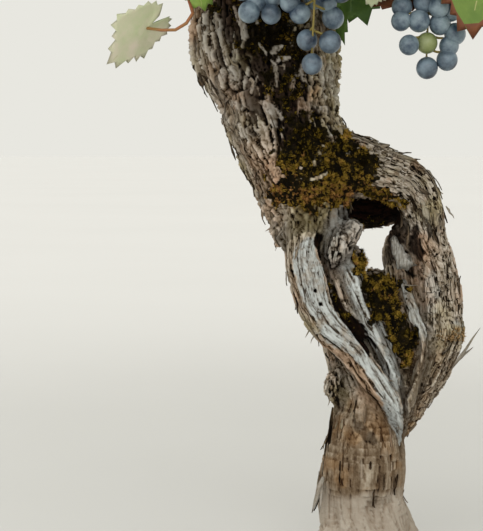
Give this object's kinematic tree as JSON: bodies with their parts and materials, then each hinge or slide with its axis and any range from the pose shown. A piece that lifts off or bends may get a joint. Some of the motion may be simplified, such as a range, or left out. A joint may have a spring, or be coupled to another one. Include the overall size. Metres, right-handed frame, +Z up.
{
  "type": "old bush-trained grapevine in leaf and fruit",
  "caption": "Old bush-trained grapevine: a gnarled trunk that parts round a window and closes in a leaning head, with short arms, leafy shoots and hanging bunches of grapes.",
  "frame": {"origin": "centre of the flat cut under the trunk, at ground level", "axes": "+Z up along the trunk; +X to the right and +Y away as seen from the front of the trunk's window"},
  "size_m": [1.3599, 1.2754, 1.1702],
  "materials": {
    "bark": "shaggy, fissured vine bark, grey brown with dark gaps",
    "bare_wood": "weathered bare wood, pale grey with dark beetle holes",
    "moss": "rotten heartwood under short moss, brown green with golden tips",
    "foliage": "thin lobed leaves, yellow green with rust margins",
    "shoot": "ripening canes, green brown to red brown",
    "grapes": "blue black berries under a pale waxy bloom"
  },
  "bodies": {
    "root": {"trunk_foot": "bark", "left_stem": "bare_wood", "right_limb_lower": "bark", "right_limb_upper": "bark", "mossy_heartwood": "moss", "trunk_head": "bark", "arm_front": "bark", "arm_right": "bark", "arm_back_right": "bark", "arm_back": "bark", "arm_back_left": "bark", "arm_left": "bark", "arm_leader": "bark", "foliage_front": "foliage", "foliage_right": "foliage", "foliage_back_right": "foliage", "foliage_back": "foliage", "foliage_back_left": "foliage", "foliage_left": "foliage", "foliage_leader": "foliage"}
  },
  "joints": []
}
